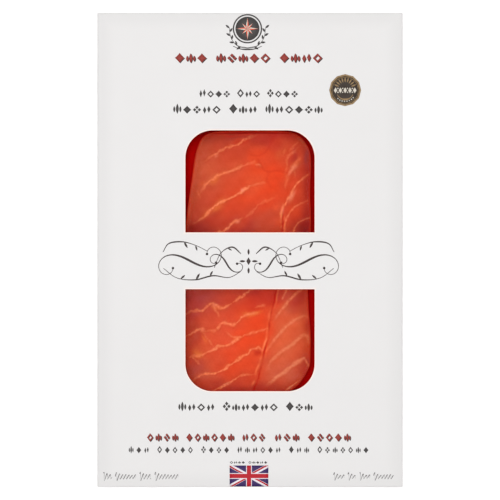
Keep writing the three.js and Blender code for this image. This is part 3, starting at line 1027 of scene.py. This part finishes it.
def fleshColours(x, y, inside, pale, shaded):
    # layers of colour on the general tone, from the broadest to the finest
    def tone(name):
        return seen(flesh[name], salmon["lit"])

    def lay(under, name, weight):
        return under + (tone(name) - under) * np.clip(weight, 0, 1)[..., None]

    raggedX, raggedY = (salmon["ragged"] * waves(x, y, 14, seed) for seed in (41, 42))
    colour = np.broadcast_to(tone("general"), (*x.shape, 3)).copy()
    # broad patches, among them painted shade along the windows' edges and at the head, and painted sheen of
    # the film
    for name, middleX, middleY, along, across, turn, weight in patches:
        patch = blob(x + raggedX, y + raggedY, middleX, middleY, along, across, turn)
        colour = lay(colour, name, weight * patch)
    colour = lay(colour, "shade", salmon["lineShade"] * shaded)
    # painted shade in the cracks
    for halfWidth, strength, points in creases:
        distance = distanceTo(throughPoints(points, 30), x + 0.2 * waves(x, y, 3, 43), y)[0]
        colour = lay(colour, "shade", 0.5 * strength * bell(distance, 1.5 * halfWidth))
    pale = pale * layered(x, y, 0.85, (0.35, 2.2, 45), (0.15, 9, 49))
    colour = lay(colour, "fat", pale)
    offset = seamOffset(x, y)
    colour = lay(colour, "fatPale", pale * smooth(0.5, 4, offset) * smooth(-18, -28, y))
    lean = salmon["lipOffset"] + 0.7 * smooth(-50, -59, y)
    lip = alongSeam(leftLips, y) * bell(offset + lean, 0.5)
    lip += alongSeam(rightLips, y) * bell(offset - salmon["lipOffset"], 0.42)
    colour = lay(colour, "lip", 0.9 * lip * (0.85 + 0.4 * waves(x, y, 6, 44)))
    gape = (0.12 + 0.88 * alongSeam(gapes, y)) * smooth(25, 17, y)
    colour = lay(colour, "groove", 0.95 * gape * bell(offset, 0.4 + 0.1 * smooth(4, 14, y)))
    for middleX, middleY, along, across, turn, strength in knots:
        colour = lay(colour, "knot", strength * blob(x, y, middleX, middleY, along, across, turn))
    # the mottle is weakest in the red, because it comes from how much fat whitens the flesh; the steep sides
    # get less light, so they are made brighter
    mottle = layered(x, y, 0, (0.045, 5, 46), (0.035, 2, 47))
    more, within = salmon["edgeLight"]
    edge = 1 + more * np.exp(-inside / within)
    colour = colour * (1 + mottle[..., None] * salmon["mottle"]) * edge[..., None]
    # painted shade: a dark strip at the head where it drops away under the card; painted light: a brighter
    # red glow at the very edge, for light spread through the flesh
    colour = lay(colour, "headEndShade", 0.95 * smooth(57.0, 57.6, y))
    return np.clip(lay(colour, "rim", 0.9 * (1 - smooth(0.2, 1.3, inside))), 0, 1)


def fleshMaterial():
    meat = Shader(bpy.data.materials.new("smokedFlesh"))
    tint = meat.attribute("flesh", "Color")
    fibre = meat.noise(900, 3, stretch=(1, 0.22, 1), turn=-0.35)
    speck = meat.noise(2400, 2)
    least, more = salmon["roughness"]
    return meat.surface(
        Base_Color=meat.mix(salmon["fibreShare"] * fibre, tint, salmon["fibre"]),
        Roughness=least + more * fibre,
        Specular_IOR_Level=0.04,
        Subsurface_Weight=salmon["glow"],
        Subsurface_Radius=salmon["glowColour"],
        Subsurface_Scale=salmon["glowDepth"],
        Normal=meat.bump(fibre + 0.4 * speck, 0.00005, 0.5),
    )


def raiseNormals(fillet, inside):
    # near the outline the shading normals lean upwards, as light that comes in from above spreads there
    normals = np.zeros(len(fillet.data.vertices) * 3, np.float32)
    fillet.data.vertex_normals.foreach_get("vector", normals)
    normals = normals.reshape(-1, 3)
    normals[:len(inside), 2] += salmon["spread"] * bell(inside, salmon["spreadReach"])
    normals /= np.linalg.norm(normals, axis=1)[:, None]
    fillet.data.normals_split_custom_set_from_vertices(normals.tolist())


def makeFillet():
    # one closed skin: rings across the fillet, each a dome over a flat underside, ending in a point at head
    # and foot
    rows, columns, under = salmon["rows"], salmon["columns"], salmon["underColumns"]

    def relief(x, y):
        return topRelief(x, y, marbling(x, y)[1])

    top, inside, span, left, right, swell = domeGrid(rows, columns, relief)
    x, y = top[..., 0], top[..., 1]
    pale, _, shaded = marbling(x, y)
    colours = fleshColours(x, y, inside, pale, shaded)
    # underside from right to left, drawn in by the undercut and flat on the film below it
    spread, rise = sectionAt(np.linspace(math.pi, 0, under + 1)[1:-1])
    lift = np.minimum(1, salmon["undercutRise"] * rise)
    tuck = 1 - np.minimum(0.9, salmon["undercut"] / span) * lift[None]
    plan = between(left, right, spread[None] * tuck)
    lowZ = filletFloor + salmon["rim"] * swell * (1 - lift[None])
    bottom = np.dstack([plan[..., 0], plan[..., 1], lowZ])
    rings = np.concatenate([top, bottom], axis=1)
    count = rings.shape[1]
    poles = np.array([[*headPoint, filletFloor], [*footPoint, filletFloor]])
    points = np.vstack([rings.reshape(-1, 3), poles])
    ring = np.arange(count)
    ahead = np.roll(ring, -1)
    lastRing = (rows - 2) * count
    faces = [gridFaces(rows - 1, count, wrap=True, flip=True), *endFans(ring, ahead, lastRing, len(points))]
    fillet = makePiece("smokedFillet", [(points, faces, 0)], [fleshMaterial()], 0)
    plain = seen(flesh["greyTan"], salmon["lit"])
    under = np.broadcast_to(plain, (*bottom.shape[:2], 3))
    tints = np.vstack([np.concatenate([colours, under], axis=1).reshape(-1, 3), plain, plain])
    setAttribute(fillet, "flesh", np.column_stack([tints, np.ones(len(tints))]), "FLOAT_COLOR", "color")
    raiseNormals(fillet, np.concatenate([inside, np.full(bottom.shape[:2], 99.0)], axis=1).ravel())
    return finishPiece(fillet, "salmon_flesh", "salmon_fillet")


# The film: shrunk over the fillet like a skin, dropping to the board round it and ending in a flat flange

film = {
    "gap": 0.25,  # over the fillet
    "thickness": 0.06,
    "clear": 0.04,  # under the flange, over the board
    "endRise": 0.5,  # height of the points at the fillet's head and foot over the flange
    "rows": 170,
    "columns": 110,
    "middle": (-2.0, -5.0),  # the skirt's rays run out from here
    "flange": (126, 200),
    "drop": 1.7,  # mm from the fillet over which the film comes down
    "ripple": 0.25,
    "mirror": 0.18,
    "gloss": 0.12,
    "wrinkle": 0.0004,
    "tint": (0.995, 0.99, 0.985),
}


def filmMaterial():
    clear = Shader(bpy.data.materials.new("clearFilm"))
    wrinkle = clear.noise(130, 4, stretch=(1, 0.6, 1))
    bump = clear.bump(wrinkle, film["wrinkle"], 0.25)
    mirror = {"Base Color": (0.95, 0.95, 0.95), "Metallic": 1.0, "Roughness": film["gloss"], "Normal": bump}
    skin = clear.add("ShaderNodeBsdfPrincipled", {}, mirror)
    through = clear.add("ShaderNodeBsdfTransparent", {}, {"Color": film["tint"]})
    # clear where it is seen straight on, a mirror where it turns away
    slant = clear.add("ShaderNodeLayerWeight", {}, {"Blend": 0.5, "Normal": bump}, "Facing")
    share = film["mirror"] * slant * slant * slant
    return clear.output(clear.add("ShaderNodeMixShader", {}, [share, through, skin]))


def filmSkirt(edge, low):
    # rings from the fillet's outline straight out to the flange's rectangle
    middle = np.array(film["middle"])
    half = np.array(film["flange"]) / 2
    ray = edge[:, :2] - middle
    stretch = np.min((half - np.sign(ray) * middle) / np.maximum(np.abs(ray), 1e-9), axis=1)
    away = middle + ray * stretch[:, None] - edge[:, :2]
    reach = np.linalg.norm(away, axis=1)
    share = ringShares([0.25, 0.55, 0.9, 1.3, 1.8, 2.4, 3.2, 4.2, 5.5], 8, reach)
    plan = edge[None, :, :2] + away[None] * share[..., None]
    x, y = plan[..., 0], plan[..., 1]
    distance = share * reach
    drop = bell(distance, film["drop"], 1.6)
    ripple = film["ripple"] * np.exp(-distance / 4) * waves(x, y, 5, 62) * smooth(0, 1, distance)
    z = low + (edge[:, 2] - low) * drop + np.abs(ripple) + 0.03 * (1 + waves(x, y, 12, 63))
    return np.dstack([plan, z])


def makeFilm():
    # a dome just over the fillet's, with a skirt round it, made a sheet of the film's thickness
    rows, columns, gap = film["rows"], film["columns"], film["gap"]

    def relief(x, y):
        return topRelief(x, y, 0.8 * marbling(x, y)[1]) + 0.05 * waves(x, y, 4, 61)

    top = domeGrid(rows, columns, relief, gap)[0]
    low = boardTop + film["thickness"] + film["clear"]
    headPole = [headPoint[0], headPoint[1] + gap, low + film["endRise"]]
    footPole = [footPoint[0], footPoint[1] - gap, low + film["endRise"]]
    points = np.vstack([top.reshape(-1, 3), headPole, footPole])
    count = columns + 1
    column = np.arange(columns)
    head, foot = len(points) - 2, len(points) - 1
    lastRow = (rows - 2) * count
    ends = endFans(column, column + 1, lastRow, len(points))
    leftEdge = np.arange(rows - 1) * count
    outline = np.concatenate([[head], leftEdge, [foot], leftEdge[::-1] + columns])
    skirt = filmSkirt(points[outline], low)
    ring = len(outline)
    base = len(points)
    outer = base + np.arange(ring)
    first = np.stack([outline, outer, np.roll(outer, -1), np.roll(outline, -1)], axis=-1)
    faces = [
        gridFaces(rows - 1, count, flip=True), *ends, first,
        gridFaces(len(skirt), ring, base, wrap=True, flip=True),
    ]
    sheet = closedSheet(np.vstack([points, skirt.reshape(-1, 3)]), faces, film["thickness"], 0, 0)
    skin = makePiece("sealedFilm", [sheet], [filmMaterial()], 0)
    return finishPiece(skin, "clear_film", "salmon_fillet")


# Ink: thin closed plates on the printed face. A shape is its plan points and its face arrays

ink = {
    "lift": 0.02,  # a layer's height over the card, and over the layer below it
    "sunk": 0.03,  # how deep the plates reach into the card
    "lit": 1.06,  # light on the face, which the colours as seen are divided by
    "pen": 0.3,  # half width of a thin pen line
    "shadow": (0.38, -0.28),  # the grey edge of the red marks
    "wave": 1.55,  # length of one wave of the fine pen lines
}
inkColours = {
    "grey": (74, 70, 69),
    "brown": (70, 60, 58),
    "faint": (92, 88, 88),
    "red": (157, 62, 54),
    "orange": (236, 92, 62),
    "gold": (158, 130, 92),
    "seal": (62, 52, 44),
    "cream": (226, 218, 204),
    "flagBlue": (62, 44, 98),
    "flagRed": (186, 24, 40),
    "flagWhite": (238, 230, 236),
}
printMiddle = -0.7
crest = {"middle": (-1.25, 108.4), "ring": (7.2, 6.5), "disc": 5.9, "long": 5.4, "short": 3.6, "waist": 1.7}
seal = {
    "middle": (46.6, 78.3),
    "sides": 12,
    "outer": 7.85,
    "rim": 7.0,
    "fine": (6.5, 6.3),
    "rays": 9,
    "rayReach": 4.5,
    "pitch": 2.35,  # from one lozenge of its row to the next
    "beads": 5.3,  # how far out the beads at its foot are
}
flag = {"middle": (-0.5, -110.7), "width": 19.0, "height": 10.3, "columns": 13, "rows": 7}
printRows = {  # middle, y, width, height, groups, seed, height of the lower marks, how full the cells are
    "tall": [
        (printMiddle, 76.8, 49.0, 4.3, [4, 3, 4], 3, 0.8, 0.86),
        (-1, 69.2, 74.0, 5.0, [5, 3, 6], 8, 0.8, 0.86),
        (-2.2, -76.6, 66.5, 4.8, [4, 6, 3], 5, 0.8, 0.86),
    ],
    "small": [
        (printMiddle, -97.8, 118.8, 3.7, [3, 5, 4, 6, 3, 7], 12, 0.88, 0.64),
        (printMiddle, -104.1, 18.6, 1.4, [4, 5], 14, 1.0, 0.86),
    ],
    "red": [
        (printMiddle, 94.1, 73.0, 4.9, [3, 5, 4], 21, 0.96, 0.86),
        (-21.6, -91.8, 58.8, 4.1, [4, 6, 3], 23, 1.0, 0.74),
        (30.6, -91.8, 38.4, 4.1, [3, 5], 26, 1.0, 0.74),
    ],
}
penLines = [  # left end, right end, y, height, groups, seed
    (-72.0, -35.1, -111.1, 4.2, [3, 7, 4, 8], 31),
    (40.8, 70.0, -111.1, 4.2, [4, 3, 4, 7], 33),
]
drawing = {
    "middle": (printMiddle, -5.5),
    "scrolls": [  # x, y, size, turn in degrees, reach, half width at the middle
        (-29.2, -5.4, 9.3, -28, 3.25, 0.54),
        (-11.6, -6.4, 4.9, 120, 3.1, 0.42),
    ],
    "hairs": [
        [(-42.6, -1), (-40, 3), (-33, 4), (-26, 2), (-20.8, -0.6)],
        [(-42.4, -9), (-36, -13.6), (-27, -14.6), (-18, -12.6), (-10, -13.4), (-4.6, -10.6)],
        [(-17.5, -8.6), (-14, -1.2), (-8.6, 1.4), (-4.4, -1.8)],
    ],
    "leaves": [  # which hair, how far along it, side, half length
        (0, 0.52, -1, 1.7),
        (0, 0.74, -1, 1.4),
        (1, 0.26, 1, 1.5),
        (1, 0.44, 1, 1.8),
        (1, 0.62, 1, 1.5),
        (2, 0.62, -1, 1.2),
    ],
}


def mark(x, y, long, wide, turn=0.0, powers=(1, 1), count=24):
    # one closed shape, u = long cos^a t and v = wide sin^b t: powers 1, 1 make an oval, 2, 2 a lozenge and
    # 1, 2 or 2, 1 a leaf
    t = 2 * math.pi * np.arange(count) / count
    u = long * np.sign(np.cos(t)) * np.abs(np.cos(t)) ** powers[0]
    v = wide * np.sign(np.sin(t)) * np.abs(np.sin(t)) ** powers[1]
    c, s = cosSin(turn)
    return blot(np.stack([x + u * c - v * s, y + u * s + v * c], axis=1))


def blot(outline):
    # a star-shaped outline, counterclockwise, as a fan round its middle
    ring = np.arange(len(outline))
    return np.vstack([outline, outline.mean(axis=0)]), [fan(ring, np.roll(ring, -1), len(ring))]


def hoop(x, y, outer, inner, count=72, squeeze=1.0):
    # the band between two regular outlines with that many corners, one of them at the top
    angle = math.pi / 2 + 2 * math.pi * np.arange(count) / count
    unit = np.stack([np.cos(angle) * squeeze, np.sin(angle)], axis=1)
    return np.vstack([unit * outer, unit * inner]) + (x, y), [gridFaces(2, count, wrap=True)]


def stroke(line, halfWidth):
    # a pen stroke with its half width in mm at each point of the line
    step = np.gradient(line, axis=0)
    step /= np.linalg.norm(step, axis=1)[:, None]
    left = np.stack([-step[:, 1], step[:, 0]], axis=1) * np.broadcast_to(halfWidth, len(line))[:, None]
    return np.stack([line - left, line + left], axis=1).reshape(-1, 2), [gridFaces(len(line), 2, flip=True)]


def swelling(count, thin, thick, middle=0.5, spread=0.22):
    # half widths that grow from thin to thick round one share of a stroke
    return thin + (thick - thin) * bell(np.linspace(0, 1, count) - middle, spread)


def mirrored(shapes, x):
    # the same shapes on the other side of a line at x, turned over to face outwards again
    turned = []
    for plan, faces in shapes:
        turned.append((np.array([2 * x, 0]) + plan * (-1, 1), [group[:, ::-1] for group in faces]))
    return turned


def ornament(kind, x, y, half, h):
    # the marks of a printed row, none of them a letter, in a cell of that half width and half height
    def lozenge(dx, dy, wide, high, powers=(2, 2), count=16):
        return mark(x + dx * half, y + dy * h, wide * half, high * h, 0, powers, count)

    if kind == 0:
        return [hoop(x, y, h, 0.5 * h, 4, half / h)]
    if kind == 1:
        return [mark(x, y, half, h, 0, (2.2, 2.2))]
    if kind == 2:
        places = ((0.56, 0), (-0.56, 0), (0, 0.56), (0, -0.56))
        return [lozenge(*place, 0.42, 0.42, count=8) for place in places]
    if kind == 3:
        beads = [lozenge(side * 0.72, -0.1, 0.26, 0.62, (2, 1)) for side in (1, -1)]
        return [lozenge(0, 0, 0.34, 1, (2, 1), 24)] + beads
    return [lozenge(side * 0.5, side * 0.1, 0.4, 0.86) for side in (1, -1)]


def printRow(middle, y, width, height, groups, seed, small, fill):
    # a row of ornaments in groups, the first of each group taller
    draw = np.random.default_rng(seed)
    gap = 0.7
    cell = width / (sum(groups) + gap * (len(groups) - 1))
    x = middle - width / 2
    shapes, last = [], -1
    for size in groups:
        for k in range(size):
            kind = int(draw.integers(0, 5))
            if kind == last:
                kind = (kind + 1) % 5
            last = kind
            tall = height * (1 if k == 0 else small)
            shapes += ornament(kind, x + cell / 2, y - (height - tall) / 2, fill * cell / 2, tall / 2)
            x += cell
        x += gap * cell
    return shapes


def joined(make, rows):
    # the shapes that a function makes from each row of a table, in one list
    return [shape for row in rows for shape in make(*row)]


def shadowed(shapes):
    # the same shapes a little aside
    return [(plan + ink["shadow"], faces) for plan, faces in shapes]


def scroll(x, y, size, turn, reach, thick):
    # an S that curls at both ends: its bend grows evenly with the way s from its middle, and its angle is
    # s^2 / 2
    thin = ink["pen"] / 2
    s = np.linspace(-reach, reach, 260)
    angle = s**2 / 2 + math.radians(turn)
    line = np.cumsum(np.stack([np.cos(angle), np.sin(angle)], axis=1), axis=0) * (s[1] - s[0]) * size
    line += (x, y) - line[len(s) // 2]
    width = thin + (thick - thin) * bell(s, 1.15)
    return [stroke(line, width), mark(*line[0], 0.62, 0.62), mark(*line[-1], 0.62, 0.62)]


def flourish():
    # the pen drawing between the windows: a lozenge with four leaves, and two scrolls on either side of it
    half = joined(scroll, drawing["scrolls"])
    hairs = [throughPoints(points, 70) for points in drawing["hairs"]]
    for k, line in enumerate(hairs):
        half.append(stroke(line, swelling(70, ink["pen"] / 2, 0.36, 0.35 + 0.2 * k)))
    for hair, share, side, long in drawing["leaves"]:
        line = hairs[hair]
        at = int(69 * share)
        heading = math.atan2(*(line[at + 1] - line[at])[::-1]) + side * math.radians(52)
        half.append(mark(*offAt(*line[at], long, heading), long, 0.3 * long, math.degrees(heading), (1, 2)))
    x, y = drawing["middle"]
    centre = [mark(x, y, 1.1, 1.9, 0, (2, 2))]
    for turn in (0, 90, 180, 270):
        c, s = cosSin(turn)
        centre.append(mark(x + 3.0 * c, y + 4.6 * s, 1.5, 0.55, turn, (1, 2)))
    return half + mirrored(half, printMiddle) + centre


def penLine(low, high, y, height, groups, seed):
    # a fine running wave of the pen in groups, each beginning with a taller swing
    draw = np.random.default_rng(seed)
    shapes = []
    gap = 1.6
    unit = (high - low - gap * (len(groups) - 1)) / sum(groups)
    x = low
    for size in groups:
        long = size * unit
        run = np.linspace(0, long, max(24, int(long * 10)))
        tall = 0.26 * height * (1 + 1.1 * np.exp(-run / 1.3)) * (1 + 0.25 * waves(run, 0 * run, 5, seed))
        turns = 2 * math.pi * run / ink["wave"]
        wave = np.sin(turns + draw.uniform(0, 1))
        line = np.stack([x + run + 0.3 * wave, y + tall * wave], axis=1)
        shapes.append(stroke(line, 0.1 + 0.07 * np.cos(turns)))
        x += long + gap
    return shapes


def crestShapes():
    # a compass star on a ringed disc over two leafy sprigs and a band: dark, cream and orange shapes
    x, y = crest["middle"]
    dark = [hoop(x, y, *crest["ring"]), hoop(x, y, crest["disc"], 0.02)]
    pale, bright = [], []
    for k in range(8):
        turn = math.radians(45 * k)
        long, narrow = (crest["long"], 1) if k % 2 == 0 else (crest["short"], 0.8)
        tip = offAt(x, y, long, turn)
        for side in (1, -1):
            corner = offAt(x, y, narrow * crest["waist"], turn + side * math.pi / 8)
            outline = np.array([(x, y), tip, corner] if side > 0 else [(x, y), corner, tip])
            (pale if side > 0 else bright).append(blot(outline))
    stem = throughPoints([(x, y - 9.4), (x + 4.8, y - 8.4), (x + 8.0, y - 4.6), (x + 8.9, y + 0.4)], 40)
    sprig = [stroke(stem, swelling(40, 0.12, 0.26, 0.2))]
    for k, at in enumerate(range(9, 40, 5)):
        heading = math.degrees(math.atan2(*(stem[at] - stem[at - 2])[::-1]))
        lean = heading + (42 if k % 2 else -42)
        sprig.append(mark(*offAt(*stem[at], 1.05, math.radians(lean)), 1.25, 0.5, lean, (1, 2)))
    dark += sprig + mirrored(sprig, x)
    band = [(x - 7.0, y - 8.6), (x - 3.6, y - 9.9), (x, y - 10.1), (x + 3.6, y - 9.9), (x + 7.0, y - 8.6)]
    dark.append(stroke(throughPoints(band, 40), swelling(40, 0.15, 0.42)))
    return dark, pale, bright


def sealShapes():
    # a many-sided dark seal: gold rim and rays, and a row of cream lozenges across its middle
    x, y = seal["middle"]
    base = [hoop(x, y, seal["outer"], 0.02, seal["sides"])]
    gold = [hoop(x, y, seal["outer"], seal["rim"], seal["sides"]), hoop(x, y, *seal["fine"])]
    for k in range(seal["rays"]):
        turn = 22 + 17 * k
        gold.append(mark(*offAt(x, y + 0.6, seal["rayReach"], math.radians(turn)), 1.35, 0.36, turn, (1, 2)))
    arc = np.radians(np.linspace(205, 335, 40))
    bow = np.stack([x + 4.2 * np.cos(arc), y - 0.4 + 4.2 * np.sin(arc)], axis=1)
    gold.append(stroke(bow, swelling(40, 0.15, 0.5)))
    cream = [mark(x + seal["pitch"] * k, y - 0.1, 0.9, 1.45, 0, (2, 2), 8) for k in range(-2, 3)]
    for k in range(-2, 2):
        for rise in (0.95, -0.95):
            cream.append(mark(x + seal["pitch"] * (k + 0.5), y - 0.1 + rise, 0.34, 0.34, count=12))
    for turn in np.radians(range(228, 321, 13)):
        cream.append(mark(*offAt(x, y - 0.2, seal["beads"], turn), 0.32, 0.32, count=12))
    return base, gold, cream


def inkTint(name):
    # an ink's colour under the light on the face
    return tuple(float(c) for c in seen(inkColours[name], ink["lit"]))


def inkMaterial(name, colour):
    dye = Shader(bpy.data.materials.new(name))
    mottle = dye.noise(500, 3)
    tint = inkTint(colour)
    tone = dye.mix(0.3 * mottle, tint, tuple(0.82 * c + 0.06 for c in tint))
    return dye.surface(Base_Color=tone, Roughness=0.5 + 0.1 * mottle, Specular_IOR_Level=0.2)


def printPiece(name, slot, layers):
    # layers: shapes, colour and how many layers lie under them
    shells, materials = [], []
    for index, (shapes, colour, level) in enumerate(layers):
        lift = ink["lift"] * (1 + level)
        for plan, faces in shapes:
            points = np.column_stack([plan, faceHeight(plan[:, 0], plan[:, 1]) + lift])
            shells.append(closedSheet(points, faces, ink["sunk"] + lift, index, index))
        materials.append(inkMaterial(name + colour.capitalize(), colour))
    return finishPiece(makePiece(name, shells, materials, 0), slot)


def flagMaterial():
    # two diagonal crosses under an upright one, as stripes by distance from their middle lines
    cloth = Shader(bpy.data.materials.new("flagInk"))
    x, y = (cloth.axis(k) / mm - flag["middle"][k] for k in range(2))
    wide, high = flag["width"], flag["height"]
    blue, red, white = (inkTint(name) for name in ("flagBlue", "flagRed", "flagWhite"))
    long = math.hypot(wide, high)
    rising = (y * wide - x * high) / long  # height over the diagonal that rises to the right
    falling = (y * wide + x * high) / long
    colour = cloth.mix(abs(rising).least(abs(falling)) < high / 12, blue, white)
    sense = (x > 0) * 2 - 1
    arm = ((y > 0) * 2 - 1) * sense > 0
    offset = (rising * arm + falling * (1 - arm)) * sense
    colour = cloth.mix((offset > 0) * (offset < high / 14), colour, red)
    cross = abs(x).least(abs(y))
    colour = cloth.mix(cross < high / 7.4, colour, white)
    colour = cloth.mix(cross < high / 9.8, colour, red)
    return cloth.surface(Base_Color=colour, Roughness=0.5, Specular_IOR_Level=0.2)


def makeFlag():
    # a grid of points over the card, one thin plate; its stripes are in its material
    rows, columns, high = flag["rows"], flag["columns"], flag["height"] / 2
    plate = facePlate(flag["width"] / 2, -high, high, rows, columns, flag["middle"], ink["lift"])
    shell = closedSheet(plate, [gridFaces(rows, columns)], ink["sunk"] + ink["lift"], 0, 0)
    finishPiece(makePiece("flagPrint", [shell], [flagMaterial()], 0), "blue_print")


def makePrint():
    dark, pale, bright = crestShapes()
    base, gold, cream = sealShapes()
    tall, small, red = (joined(printRow, printRows[kind]) for kind in ("tall", "small", "red"))
    printPiece("greyPrint", "grey_print", [
        (tall + dark, "grey", 0),
        (small, "grey", 0),
        (flourish(), "brown", 0),
        (joined(penLine, penLines), "faint", 0),
        (shadowed(red), "grey", 0),
    ])
    printPiece("redPrint", "red_print", [(red, "red", 1), (bright, "orange", 1)])
    printPiece("goldSeal", "gold_print", [(base, "seal", 0), (gold, "gold", 1), (cream + pale, "cream", 1)])


makeCamera()
makeStudio()
print("camera, lights and floor")
makeCarton()
dressBoard()
makeFillet()
makeFilm()
makePrint()
makeFlag()
